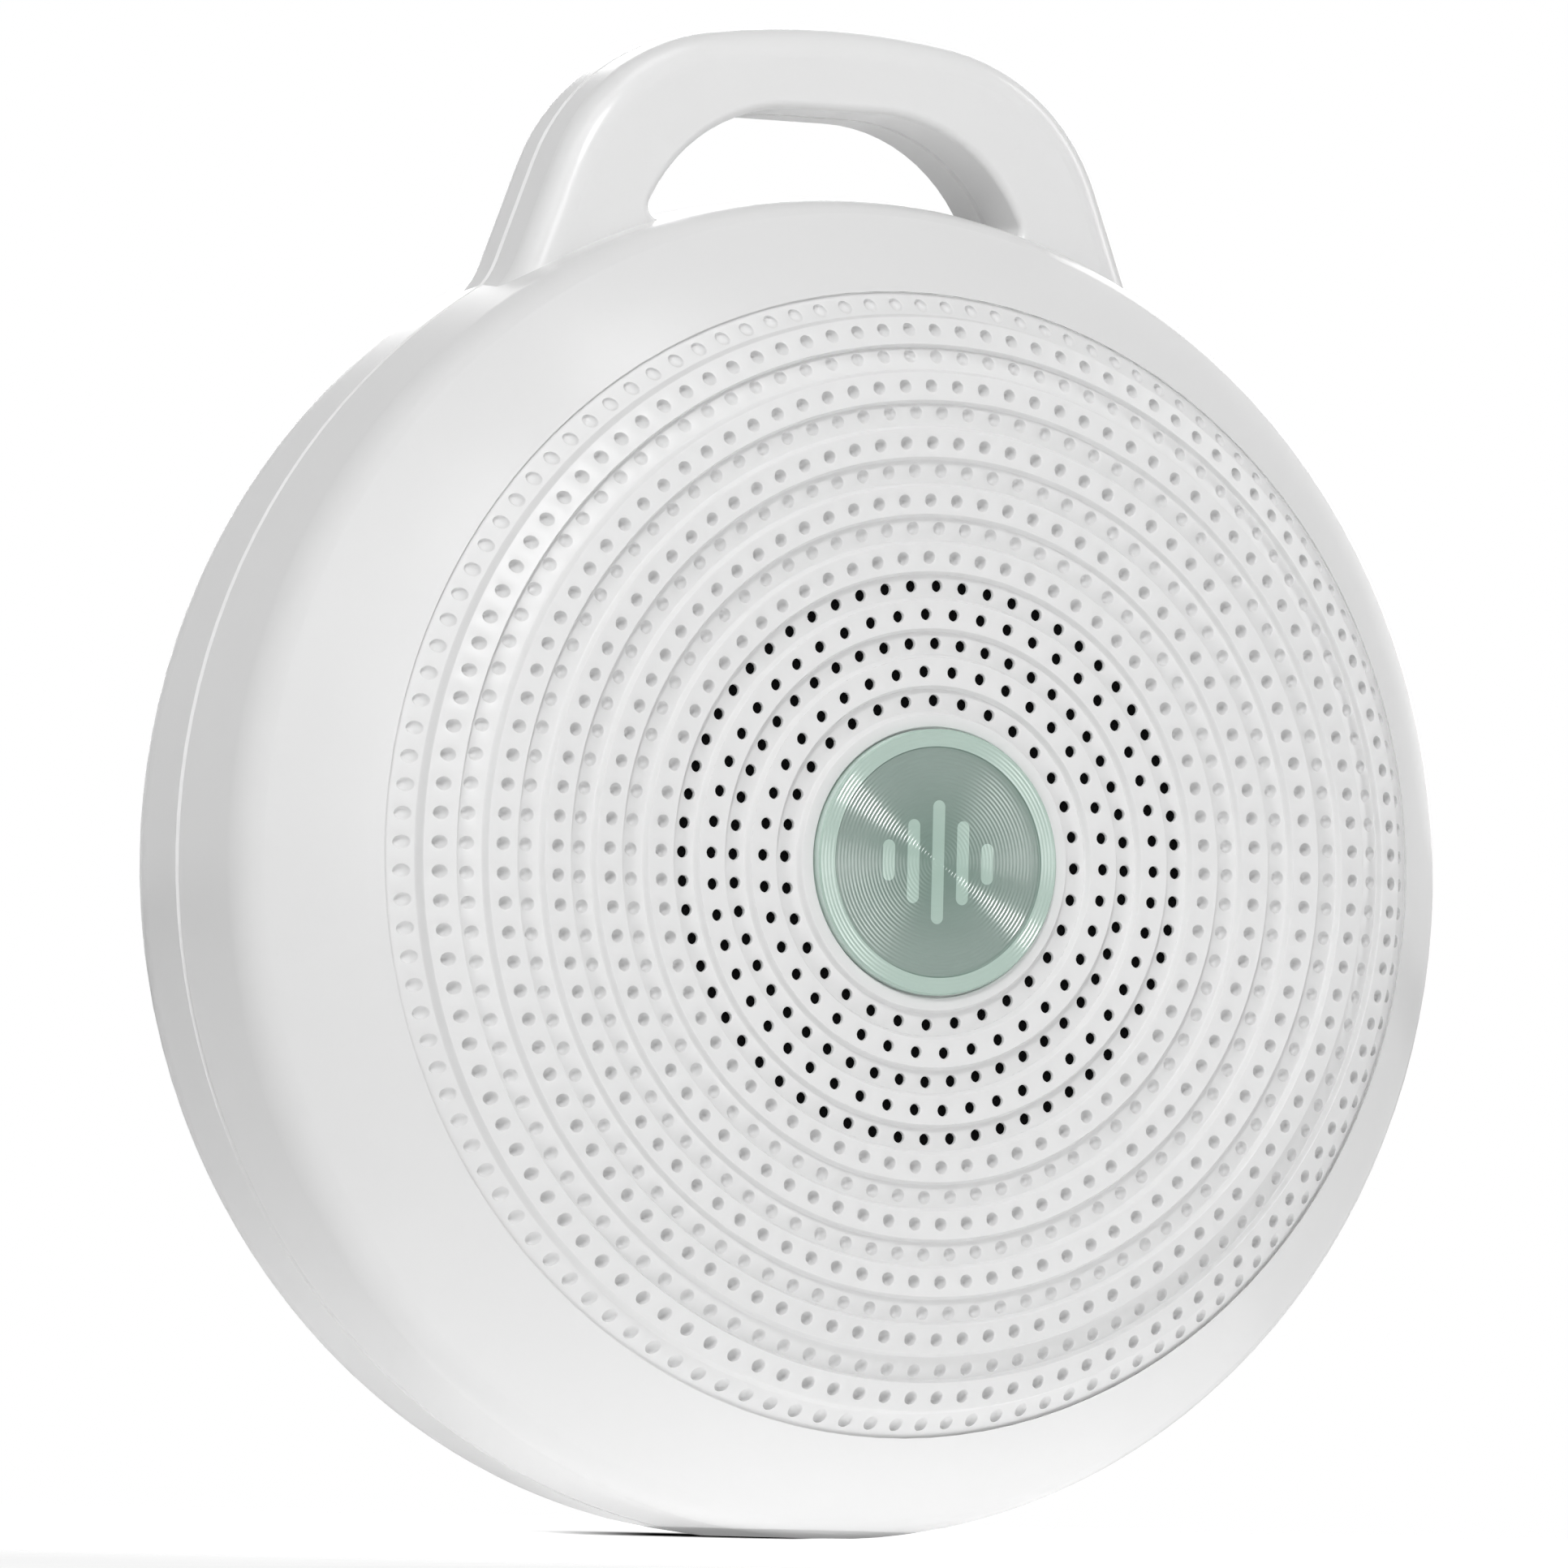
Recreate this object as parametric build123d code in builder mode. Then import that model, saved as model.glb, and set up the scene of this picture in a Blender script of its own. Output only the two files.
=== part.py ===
"""White noise sound machine: a round travel unit with a carrying loop.

Millimetres. The row's origin is the middle of the box on the floor, +Z is up and the
front looks to -Y. Depths are counted from the badge face to the rear.
"""
from build123d import *
from math import asin, cos, radians, sin, sqrt
import os

# ---- whole object ---------------------------------------------------------------
overall_depth = 38.1          # badge face to button faces
body_radius = 44.5            # at the seam
foot_flat = 0.3               # the round body is cut flat by this much at the floor
axis_height = body_radius - foot_flat
wall = 2.0                    # moulded wall of both shells
seat_gap = 0.02               # radial room round glued and pressed pieces
button_proud = 0.5            # button faces behind the back wall
back_depth = overall_depth - button_proud

# ---- front shell ----------------------------------------------------------------
front_wall_radius = body_radius - 0.25  # side wall where the front rounding starts
front_wall_depth = 14.8
shoulder_radius = body_radius - 1.42    # rounding ends here and the band begins
shoulder_depth = 11.4
rounding_lean = 19.3          # half of the angle that the rounding turns
band_bulge = 0.12             # the conical band is slightly convex
opening_radius = body_radius - 6.95     # hole for the grille
opening_depth = 4.95
band_slope = (shoulder_depth - opening_depth) / (shoulder_radius - opening_radius)
inner_shoulder_radius = shoulder_radius - 1.53
inner_shoulder_depth = shoulder_depth + 1.29
grille_seat_depth = 8.0       # ledge that the grille flange rests on
grille_seat_radius = opening_radius + 1.25
inner_seat_depth = inner_shoulder_depth - band_slope * (inner_shoulder_radius - grille_seat_radius)

# ---- rear shell -----------------------------------------------------------------
back_rise = 10.3              # depth of the rounding at the back
rear_wall_radius = body_radius - 0.25
rear_wall_depth = back_depth - back_rise
back_flat_radius = body_radius - 20.5
back_spread = rear_wall_radius - back_flat_radius

# ---- carrying loop --------------------------------------------------------------
loop_front_depth = front_wall_depth + 1.95
loop_rear_depth = rear_wall_depth - 1.3
loop_root_radius = body_radius - 0.2    # the loop grows out of the side wall here
loop_top = body_radius + 11.4           # above the disc axis
loop_crown_radius = 58.0
loop_crown_turn = 8.9
loop_corner_radius = 14.14
loop_corner_turn = 60.4
loop_flare = 5.5              # fillet between loop and body
loop_band = 5.6               # thickness of the loop at its crown
loop_hole_top = loop_top - loop_band
loop_hole_flat = 3.2          # half of the straight part at the top
loop_hole_corner = 11.6
loop_hole_turn = 64.0
loop_hole_foot = 0.85
loop_edge = 2.1               # rounding of the loop's outer edges
loop_hole_edge = 0.6          # rounding round its hole

# ---- seam and its tongue --------------------------------------------------------
seam_share = 0.55676          # part of the loop's depth that belongs to the front shell
seam_depth = loop_front_depth + seam_share * (loop_rear_depth - loop_front_depth)
seam_chamfer = 0.28           # small bevel on both sides of the seam
tongue_outer = body_radius - 1.1
tongue_inner = tongue_outer - 0.8
tongue_length = 0.9
tongue_clearance = 0.1

# ---- grille ---------------------------------------------------------------------
grille_edge_gap = 0.1         # shadow gap round the grille
grille_radius = opening_radius - grille_edge_gap
grille_thickness = 1.8
land_depth = 0.55             # middle of the grille, round the badge
land_radius = 16.0
brow_radius = grille_radius - 9.45      # most forward ring of the grille
brow_depth = 0.25
brow_bend = 13.0              # radius of the rounded edge of the grille
ripple_first = 10.6           # middle of the first groove
ripple_last = grille_radius - 0.74      # middle of the last groove
ripple_count = 8
ripple_pitch = (ripple_last - ripple_first) / (ripple_count - 1)
ripple_depth = 0.57
ripple_top = 1.9              # groove width at the face
ripple_floor = 1.4            # groove width at the bottom
grille_skirt_radius = grille_radius - 1.25
flange_radius = grille_seat_radius - 0.1
flange_depth = grille_seat_depth + 1.9
sound_hole_radius = 0.39
sound_hole_rows = [(32, 0.0), (38, 0.5), (48, 0.0), (50, 0.5), (60, 0.0)]  # half a pitch apart
badge_radius = 8.7
badge_gap = 0.15
badge_thickness = 1.0
badge_rim = 1.15              # width of the raised rim
badge_rim_height = 0.08

# ---- loudspeaker ----------------------------------------------------------------
speaker_radius = 20.0
speaker_face_depth = 5.0
mesh_radius = speaker_radius - 0.1
mesh_thickness = 0.3
flange_thickness = 1.0
gasket_inner = speaker_radius - 1.3
gasket_outer = speaker_radius - 0.1
ear_circle = speaker_radius + 1.5
ear_radius = 2.2
ear_hole = 1.0
ear_angles = (90, 210, 330)
speaker_boss = 1.5
speaker_screw_shank = 0.8
speaker_screw_head = 1.6
speaker_screw_head_height = 1.2
speaker_screw_length = 3.1
basket_depth = 7.3
motor_plate = 1.5             # thickness of the steel plates
magnet_thickness = 4.0
top_plate_depth = speaker_face_depth + basket_depth
top_plate_radius = 10.5
top_plate_bore = 6.0
magnet_depth = top_plate_depth + motor_plate
magnet_radius = 11.0
magnet_bore = 6.6
yoke_depth = magnet_depth + magnet_thickness
yoke_back_depth = yoke_depth + motor_plate
pole_radius = 5.0
coil_outer = 5.7
coil_inner = 5.35
coil_front = top_plate_depth - 2.5
coil_back = top_plate_depth + 2.3
cone_outer = speaker_radius - 5.0
cone_skin = 0.4
basket_window_place = speaker_radius - 4.5
basket_window_length = 4.2
basket_window_width = 7.0
terminal_place = 4.0 - speaker_radius     # solder tag on the basket, across
terminal_back = top_plate_depth - 0.3
terminal_front = terminal_back - 3.4

# ---- case screws ----------------------------------------------------------------
case_inset = 7.5
case_circle = body_radius - case_inset
case_front_post = 3.0
case_rear_post = 3.2
case_post_front_end = flange_depth + 0.5
case_web = 2.0
case_web_reach = body_radius - 1.3
case_head_seat = seam_depth + 3.1
case_head_radius = 1.9
case_head_height = 1.5
case_well_radius = 2.3
case_shank_radius = 1.0
case_screw_tip = seam_depth - 7.9
case_pilot_tip = case_screw_tip - 1.0

# ---- buttons --------------------------------------------------------------------
button_radius = 4.2
button_clearance = 0.1        # running fit in the back wall
button_flange = 5.1
button_flange_thickness = 1.0
button_flange_gap = 0.05
button_stem = 1.2
button_edge = 0.4
power_height = 11.0           # button centres, from the disc axis
sound_height = -9.5
volume_height = 0.75
volume_reach = 11.5
button_places = {
    "power": (0.0, power_height),
    "sound": (0.0, sound_height),
    "volume_up": (volume_reach, volume_height),
    "volume_down": (-volume_reach, volume_height),
}

# ---- board, battery, socket -----------------------------------------------------
board_thickness = 1.6
board_room = 4.5              # between the board and the back wall
board_back = back_depth - wall - board_room
board_depth = board_back - board_thickness
board_inset = 7.0             # board edge to the circle of the case posts
board_post_inset = 3.0
board_radius = case_circle - board_inset
board_post_circle = board_radius - board_post_inset
board_post_radius = 2.4
board_screw_shank = 0.9
board_screw_head = 1.8
board_screw_head_height = 1.3
board_screw_length = 4.4
board_hole = 1.1
battery_room = 0.96           # between the battery and the case posts
battery_width = 2 * (case_circle * cos(radians(45)) - case_rear_post - battery_room)
battery_height = 26.0
battery_floor = 8.5           # lower edge above the inside of the side wall
battery_low = battery_floor - (body_radius - wall)  # from the disc axis
battery_top = battery_low + battery_height
battery_gap = 1.7             # behind the loudspeaker
battery_front = yoke_back_depth + battery_gap
pad_thickness = 1.5
battery_thickness = board_depth - pad_thickness - battery_front
battery_edge_share = 0.31     # edge rounding as a part of the thickness
pad_trim = 7.0                # pad edge inside the battery edge, on each side
pad_width = battery_width - 2 * pad_trim
pad_height = 14.0
speaker_plug_place = terminal_place - 2.0  # where the leads meet the board, across
speaker_plug_height = 3.5
battery_plug_place = battery_width / 2 - pad_trim
battery_plug_height = 4.0
battery_plug_rise = 11.0
battery_plug_up = battery_top + battery_plug_rise
socket_drop = 11.5            # below the sound button
socket_place = sound_height - socket_drop
socket_width = 8.9
socket_height = 3.2
socket_skin = 0.3
socket_back = back_depth - 0.3
socket_clearance = 0.25
led_rise = 9.0                # above the power button
led_place = power_height + led_rise
pipe_radius = 1.0
pipe_flange = 1.6

# ---- switches and plungers ------------------------------------------------------
switch_size = 4.6
switch_height = 1.6
plunger_radius = 1.0
plunger_reach = 2.5
plunger_back = board_back + plunger_reach
plunger_clearance = 0.1
plunger_sink = 0.5            # how far a plunger sits inside its switch
press_travel = 0.5

# ---- inner leads ----------------------------------------------------------------
lead_radius = 0.6
lead_bend = 2.0

disc_axis = Axis((0, 0, axis_height), (0, 1, 0))
profile_plane = Plane.XY.offset(axis_height)
corner_angles = (45, 135, 225, 315)


def at(depth):
    """Row y of a station that lies this far behind the badge face."""
    return depth - overall_depth / 2


def facing(depth, x=0.0, up=0.0):
    """Plane at a depth that looks to the front, with its local y upwards."""
    return Plane(origin=(x, at(depth), axis_height + up), x_dir=(1, 0, 0), z_dir=(0, -1, 0))


def ring_places(radius, angles):
    """Places on a circle round the disc axis, as x and height above the axis."""
    return [(radius * cos(radians(a)), radius * sin(radians(a))) for a in angles]


def turn(corners, mode=Mode.ADD):
    """Turn a closed profile of (radius, depth) corners about the disc axis."""
    with BuildSketch(profile_plane) as profile:
        with BuildLine():
            Polyline(*[(radius, at(depth)) for radius, depth in corners], close=True)
        make_face()
    revolve(profile.sketch, axis=disc_axis, mode=mode)


def posts(radius, front, back, places, mode=Mode.ADD):
    """Round posts or holes along the depth between two stations."""
    with BuildSketch(facing(front)) as ends:
        with Locations(*places):
            Circle(radius)
    extrude(ends.sketch, amount=front - back, mode=mode)


def block(width, height, front, back, x=0.0, up=0.0, mode=Mode.ADD):
    """A block along the depth between two stations."""
    with BuildSketch(facing(front, x, up)) as end:
        Rectangle(width, height)
    extrude(end.sketch, amount=front - back, mode=mode)


def webs(front, back, mode=Mode.ADD):
    """Ribs that tie the four case posts to the side wall."""
    with BuildSketch(facing(front)) as ends:
        for angle in corner_angles:
            middle = (case_circle + case_web_reach) / 2
            with Locations(ring_places(middle, (angle,))[0]):
                Rectangle(case_web_reach - case_circle, case_web, rotation=angle)
    extrude(ends.sketch, amount=front - back, mode=mode)


def on_body_edge(vertex):
    """True for a corner of the loop outline that lies on the side wall."""
    return abs(sqrt(vertex.X**2 + vertex.Y**2) - loop_root_radius) < 0.01 and abs(vertex.X) > 1


def keep(piece, name):
    """Name a finished piece and write it out."""
    piece.part.label = name
    export_step(piece.part, f"parts/{name}.step")


os.makedirs("parts", exist_ok=True)

# ================================================================================
# carrying loop: one outline, half of it moulded on each shell
# ================================================================================
with BuildSketch(facing(seam_depth)) as loop_outline:
    Circle(loop_root_radius)
    with BuildLine():
        crown = JernArc((0, loop_top), (1, 0), loop_crown_radius, -loop_crown_turn)
        corner = JernArc(crown @ 1, crown % 1, loop_corner_radius, -loop_corner_turn)
        leg = Line(corner @ 1, corner @ 1 + (corner % 1) * 20)
        foot = Line(leg @ 1, (0, (leg @ 1).Y))
        Line(foot @ 1, crown @ 0)
    make_face()
    mirror(about=Plane.YZ)
    roots = [v for v in loop_outline.sketch_local.vertices() if on_body_edge(v)]
    fillet(roots, radius=loop_flare)
    with BuildLine():
        hole_flat = Line((0, loop_hole_top), (loop_hole_flat, loop_hole_top))
        hole_corner = JernArc(hole_flat @ 1, hole_flat % 1, loop_hole_corner, -loop_hole_turn)
        hole_leg = Line(hole_corner @ 1, hole_corner @ 1 + (hole_corner % 1) * 8)
        hole_foot = Line(hole_leg @ 1, (0, (hole_leg @ 1).Y))
        Line(hole_foot @ 1, hole_flat @ 0)
    hole_half = make_face(mode=Mode.PRIVATE)
    add(hole_half, mode=Mode.SUBTRACT)
    add(hole_half.mirror(Plane.YZ), mode=Mode.SUBTRACT)
    Circle(loop_root_radius)
    feet = [v for v in loop_outline.sketch_local.vertices() if on_body_edge(v) and abs(v.X) < 20]
    fillet(feet, radius=loop_hole_foot)

with BuildPart() as loop_front:
    extrude(loop_outline.sketch, amount=seam_depth - loop_front_depth)
    fillet(loop_front.faces().sort_by(Axis.Y)[0].outer_wire().edges(), radius=loop_edge)
    fillet(loop_front.faces().sort_by(Axis.Y)[0].inner_wires()[0].edges(), radius=loop_hole_edge)
    chamfer(loop_front.faces().sort_by(Axis.Y)[-1].edges(), length=seam_chamfer)

with BuildPart() as loop_rear:
    extrude(loop_outline.sketch, amount=seam_depth - loop_rear_depth)
    fillet(loop_rear.faces().sort_by(Axis.Y)[-1].outer_wire().edges(), radius=loop_edge)
    fillet(loop_rear.faces().sort_by(Axis.Y)[-1].inner_wires()[0].edges(), radius=loop_hole_edge)
    chamfer(loop_rear.faces().sort_by(Axis.Y)[0].edges(), length=seam_chamfer)

# ================================================================================
# front shell
# ================================================================================
with BuildPart() as front_cavity:
    turn([
        (0, opening_depth - 1),
        (opening_radius, opening_depth - 1),
        (opening_radius, grille_seat_depth),
        (grille_seat_radius, grille_seat_depth),
        (grille_seat_radius, inner_seat_depth),
        (inner_shoulder_radius, inner_shoulder_depth),
        (front_wall_radius - wall, front_wall_depth),
        (body_radius - wall, seam_depth),
        (body_radius - wall, seam_depth + 1),
        (0, seam_depth + 1),
    ])
    posts(case_front_post, case_post_front_end, seam_depth + 2,
          ring_places(case_circle, corner_angles), mode=Mode.SUBTRACT)
    webs(case_pilot_tip, seam_depth + 2, mode=Mode.SUBTRACT)

with BuildPart() as front_shell:
    with BuildSketch(profile_plane):
        with BuildLine():
            band_start = Vector(opening_radius, at(opening_depth))
            band_end = Vector(shoulder_radius, at(shoulder_depth))
            wall_start = Vector(front_wall_radius, at(front_wall_depth))
            along = (band_end - band_start).normalized()
            outward = Vector(along.Y, -along.X)
            ThreePointArc(band_start, (band_start + band_end) / 2 + outward * band_bulge, band_end)
            chord = wall_start - band_end
            sag = chord.length / 2 * sin(radians(rounding_lean / 2)) / cos(radians(rounding_lean / 2))
            turned_out = Vector(chord.Y, -chord.X).normalized()
            ThreePointArc(band_end, (band_end + wall_start) / 2 + turned_out * sag, wall_start)
            Polyline(
                wall_start,
                (body_radius, at(seam_depth - seam_chamfer)),
                (body_radius - seam_chamfer, at(seam_depth)),
                (0, at(seam_depth)),
                (0, at(opening_depth)),
                band_start,
            )
        make_face()
    revolve(axis=disc_axis)
    add(loop_front.part)
    add(front_cavity.part, mode=Mode.SUBTRACT)
    turn([
        (tongue_inner, seam_depth - 0.5),
        (tongue_outer, seam_depth - 0.5),
        (tongue_outer, seam_depth + tongue_length),
        (tongue_inner, seam_depth + tongue_length),
    ])
    posts(case_shank_radius + seat_gap, case_pilot_tip, seam_depth + 1,
          ring_places(case_circle, corner_angles), mode=Mode.SUBTRACT)
    block(40, 10, 0, overall_depth, up=-axis_height - 5, mode=Mode.SUBTRACT)

# ================================================================================
# rear shell
# ================================================================================
with BuildPart() as rear_cavity:
    with BuildSketch(profile_plane):
        with BuildLine():
            inner_bend = EllipticalCenterArc(
                (back_flat_radius, at(rear_wall_depth)), back_spread - wall, back_rise - wall, arc_size=90)
            Polyline(
                inner_bend @ 1,
                (0, at(back_depth - wall)),
                (0, at(seam_depth - 1)),
                (tongue_outer + tongue_clearance, at(seam_depth - 1)),
                (tongue_outer + tongue_clearance, at(seam_depth + tongue_length + tongue_clearance)),
                (body_radius - wall, at(seam_depth + tongue_length + tongue_clearance)),
                inner_bend @ 0,
            )
        make_face()
    revolve(axis=disc_axis)
    posts(case_rear_post, seam_depth + 0.05, overall_depth,
          ring_places(case_circle, corner_angles), mode=Mode.SUBTRACT)
    webs(seam_depth + tongue_length + 0.4, overall_depth, mode=Mode.SUBTRACT)
    posts(board_post_radius, board_back, overall_depth,
          ring_places(board_post_circle, corner_angles), mode=Mode.SUBTRACT)

with BuildPart() as rear_shell:
    with BuildSketch(profile_plane):
        with BuildLine():
            outer_bend = EllipticalCenterArc(
                (back_flat_radius, at(rear_wall_depth)), back_spread, back_rise, arc_size=90)
            Polyline(
                outer_bend @ 1,
                (0, at(back_depth)),
                (0, at(seam_depth)),
                (body_radius - seam_chamfer, at(seam_depth)),
                (body_radius, at(seam_depth + seam_chamfer)),
                outer_bend @ 0,
            )
        make_face()
    revolve(axis=disc_axis)
    add(loop_rear.part)
    add(rear_cavity.part, mode=Mode.SUBTRACT)
    posts(case_well_radius, case_head_seat, overall_depth,
          ring_places(case_circle, corner_angles), mode=Mode.SUBTRACT)
    posts(case_shank_radius + 0.1, seam_depth - 1, case_head_seat,
          ring_places(case_circle, corner_angles), mode=Mode.SUBTRACT)
    posts(board_screw_shank + seat_gap, board_back - 1, board_depth + board_screw_length + 0.5,
          ring_places(board_post_circle, corner_angles), mode=Mode.SUBTRACT)
    posts(button_radius + button_clearance, back_depth - wall - 1, overall_depth,
          list(button_places.values()), mode=Mode.SUBTRACT)
    posts(pipe_radius + seat_gap, back_depth - wall - 1, overall_depth,
          [(0, led_place)], mode=Mode.SUBTRACT)
    with BuildSketch(facing(back_depth - wall - 1, 0, socket_place)) as mouth:
        SlotOverall(socket_width + 2 * socket_clearance, socket_height + 2 * socket_clearance)
    extrude(mouth.sketch, amount=-wall - 2, mode=Mode.SUBTRACT)
    block(40, 10, 0, overall_depth, up=-axis_height - 5, mode=Mode.SUBTRACT)

keep(front_shell, "front_shell")
keep(rear_shell, "rear_shell")


# ================================================================================
# speaker grille: a shallow dome with ripples and rows of sound holes
# ================================================================================
def face_point(radius, inset=0.0):
    """Point at a radius of the grille face, or of a floor sunk under it by the inset."""
    if radius <= land_radius:
        return (radius, land_depth + inset)
    if radius <= brow_radius:
        rise = (brow_depth - land_depth) * (radius - land_radius) / (brow_radius - land_radius)
        return (radius, land_depth + rise + inset)
    reach = brow_bend - inset
    return (radius, brow_depth + brow_bend - sqrt(reach**2 - (radius - brow_radius) ** 2))


ripple_line = [(0, land_depth), (ripple_first - ripple_top / 2, land_depth)]
for number in range(ripple_count):
    groove = ripple_first + ripple_pitch * number
    if number > 0:
        ripple_line.append(face_point(groove - ripple_top / 2))
    ripple_line.append(face_point(groove - ripple_floor / 2, ripple_depth))
    if number < ripple_count - 1:
        ripple_line.append(face_point(groove + ripple_floor / 2, ripple_depth))
        ripple_line.append(face_point(groove + ripple_top / 2))
ripple_line.append(face_point(grille_radius, ripple_depth))
back_reach = brow_bend - grille_thickness
skirt_lean = asin((grille_skirt_radius - brow_radius) / back_reach)


def grille_back(lean):
    """Point on the rounded back of the grille edge."""
    return (brow_radius + back_reach * sin(lean), at(brow_depth + brow_bend - back_reach * cos(lean)))


with BuildPart() as speaker_grille:
    with BuildSketch(profile_plane):
        with BuildLine():
            face_line = Polyline(*[(radius, at(depth)) for radius, depth in ripple_line])
            flange_line = Polyline(
                face_line @ 1,
                (grille_radius, at(grille_seat_depth)),
                (flange_radius, at(grille_seat_depth)),
                (flange_radius, at(flange_depth)),
                (grille_skirt_radius, at(flange_depth)),
                grille_back(skirt_lean),
            )
            ThreePointArc(flange_line @ 1, grille_back(skirt_lean / 2), grille_back(0))
            Polyline(grille_back(0), (0, at(brow_depth + grille_thickness)), face_line @ 0)
        make_face()
    revolve(axis=disc_axis)
    posts(badge_radius + badge_gap, 0, badge_thickness, [(0, 0)], mode=Mode.SUBTRACT)
    for number, (row_count, row_shift) in enumerate(sound_hole_rows):
        row_radius = ripple_first + ripple_pitch * number / 2
        row_angles = [90 + (n + row_shift) * 360 / row_count for n in range(row_count)]
        posts(sound_hole_radius, 0, 3, ring_places(row_radius, row_angles), mode=Mode.SUBTRACT)
    posts(speaker_boss, brow_depth + grille_thickness, speaker_face_depth,
          ring_places(ear_circle, ear_angles))
    posts(speaker_screw_shank + seat_gap, speaker_face_depth + flange_thickness - speaker_screw_length,
          speaker_face_depth + 1, ring_places(ear_circle, ear_angles), mode=Mode.SUBTRACT)
keep(speaker_grille, "speaker_grille")

with BuildPart() as badge:
    turn([
        (0, badge_thickness),
        (badge_radius, badge_thickness),
        (badge_radius, 0.12),
        (badge_radius - 0.12, 0),
        (badge_radius - badge_rim, 0),
        (badge_radius - badge_rim - badge_rim_height, badge_rim_height),
        (0, badge_rim_height),
    ])
keep(badge, "badge")

mesh_depth = brow_depth + grille_thickness
with BuildPart() as acoustic_mesh:
    posts(mesh_radius, mesh_depth, mesh_depth + mesh_thickness, [(0, 0)])
keep(acoustic_mesh, "acoustic_mesh")

with BuildPart() as speaker_gasket:
    turn([
        (gasket_inner, mesh_depth + mesh_thickness),
        (gasket_outer, mesh_depth + mesh_thickness),
        (gasket_outer, speaker_face_depth),
        (gasket_inner, speaker_face_depth),
    ])
keep(speaker_gasket, "speaker_gasket")

# ================================================================================
# loudspeaker
# ================================================================================
flange_back = speaker_face_depth + flange_thickness
with BuildPart() as speaker_frame:
    with BuildSketch(facing(speaker_face_depth)) as ears:
        Circle(speaker_radius)
        for angle in ear_angles:
            with Locations(ring_places(ear_circle, (angle,))[0]):
                Circle(ear_radius)
            with Locations(ring_places(ear_circle - 1.2, (angle,))[0]):
                Rectangle(2.4, 2 * ear_radius, rotation=angle)
        Circle(speaker_radius - 1.4, mode=Mode.SUBTRACT)
    extrude(ears.sketch, amount=-flange_thickness)
    turn([
        (speaker_radius - 2.2, speaker_face_depth),
        (speaker_radius - 0.7, speaker_face_depth),
        (speaker_radius - 0.7, flange_back),
        (top_plate_radius + 2.5, top_plate_depth),
        (top_plate_radius - 1.5, top_plate_depth),
        (top_plate_radius - 1.5, top_plate_depth - 0.8),
        (top_plate_radius + 2.1, top_plate_depth - 0.8),
        (speaker_radius - 2.0, flange_back - 0.2),
    ])
    for angle in range(30, 390, 60):
        with BuildSketch(facing(flange_back + 1)) as window:
            with Locations(ring_places(basket_window_place, (angle,))[0]):
                Rectangle(basket_window_length, basket_window_width, rotation=angle)
        extrude(window.sketch, amount=-8, mode=Mode.SUBTRACT)
    posts(ear_hole, speaker_face_depth - 1, flange_back + 1, ring_places(ear_circle, ear_angles),
          mode=Mode.SUBTRACT)
    block(2.4, 5.0, terminal_front, terminal_back, x=terminal_place)
keep(speaker_frame, "speaker_frame")

with BuildPart() as speaker_top_plate:
    posts(top_plate_radius, top_plate_depth, magnet_depth, [(0, 0)])
    posts(top_plate_bore, top_plate_depth, magnet_depth, [(0, 0)], mode=Mode.SUBTRACT)
keep(speaker_top_plate, "speaker_top_plate")

with BuildPart() as speaker_magnet:
    posts(magnet_radius, magnet_depth, yoke_depth, [(0, 0)])
    posts(magnet_bore, magnet_depth, yoke_depth, [(0, 0)], mode=Mode.SUBTRACT)
keep(speaker_magnet, "speaker_magnet")

with BuildPart() as speaker_yoke:
    posts(top_plate_radius, yoke_depth, yoke_back_depth, [(0, 0)])
    posts(pole_radius, top_plate_depth, yoke_back_depth, [(0, 0)])
keep(speaker_yoke, "speaker_yoke")

with BuildPart() as voice_coil:
    posts(coil_outer, coil_front, coil_back, [(0, 0)])
    posts(coil_inner, coil_front, coil_back, [(0, 0)], mode=Mode.SUBTRACT)
keep(voice_coil, "voice_coil")

with BuildPart() as speaker_cone:
    turn([
        (cone_outer, speaker_face_depth),
        (cone_outer, speaker_face_depth + cone_skin),
        (coil_outer, coil_front + cone_skin),
        (coil_outer, coil_front),
    ])
keep(speaker_cone, "speaker_cone")

cap_line = [
    (coil_outer + 0.3, coil_front - 0.2),
    (coil_outer - 0.9, coil_front - 0.9),
    (coil_outer - 2.3, coil_front - 1.4),
    (coil_outer - 3.9, coil_front - 1.7),
    (0, coil_front - 1.8),
]
cap_inside = [(radius, depth + 0.3) for radius, depth in reversed(cap_line[1:])]
with BuildPart() as dust_cap:
    turn(cap_line + cap_inside + [(coil_outer + 0.1, coil_front - 0.1)])
keep(dust_cap, "dust_cap")

# steps outward from the cone edge and forward from the speaker face
roll_front = [(-1, 0.3), (0, 0.3), (0.25, 1), (0.8, 1.35), (1.4, 1.35), (1.95, 1), (2.2, 0.3), (3.5, 0.3)]
roll_back = [(3.5, 0), (1.95, 0), (1.7, 0.8), (1.3, 1.05), (0.9, 1.05), (0.5, 0.8), (0.25, 0), (-1, 0)]
with BuildPart() as surround:
    turn([(cone_outer + out, speaker_face_depth - rise) for out, rise in roll_front + roll_back])
keep(surround, "surround")

spider_outer = top_plate_radius + 1.4
# steps outward from the coil and forward from the top plate
waves = [(0, 2.0), (0.9, 2.0), (1.6, 1.4), (2.3, 2.0), (3.0, 1.4), (3.7, 1.1)]
spider_line = [(coil_outer + out, top_plate_depth - rise) for out, rise in waves]
spider_line.append((spider_outer, top_plate_depth - 1.1))
with BuildPart() as spider:
    turn(spider_line + [(radius, depth + 0.3) for radius, depth in reversed(spider_line)])
keep(spider, "spider")

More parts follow.
